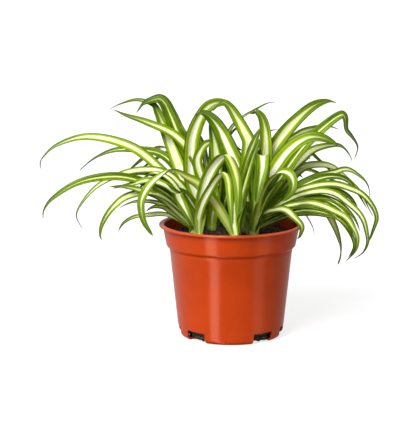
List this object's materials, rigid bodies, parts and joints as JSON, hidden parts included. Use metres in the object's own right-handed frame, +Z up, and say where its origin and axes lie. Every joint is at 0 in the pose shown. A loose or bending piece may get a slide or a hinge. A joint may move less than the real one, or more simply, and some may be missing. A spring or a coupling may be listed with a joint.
{
  "type": "potted spider plant",
  "caption": "Spider plant with long arching striped leaves in crowns, its root ball of soil standing in a round plastic nursery pot with drainage notches.",
  "frame": {"origin": "middle of the pot's underside, on the surface that it stands on", "axes": "+Z up, the front of the plant faces -Y, +X to the right as seen from the front"},
  "size_m": [0.2401, 0.1715, 0.1611],
  "materials": {
    "pot_plastic": "glossy moulded terracotta-coloured plastic",
    "soil": "dark damp peat with bits of fibre and bark",
    "roots": "pale fleshy roots, matt",
    "leaves": "satin green leaf with a cream stripe along its middle"
  },
  "bodies": {
    "root": {"pot": "pot_plastic", "soil": "soil", "roots": "roots", "crown_left": "leaves", "crown_front_left": "leaves", "crown_front": "leaves", "crown_right": "leaves", "crown_back": "leaves", "crown_back_right": "leaves"}
  },
  "joints": []
}
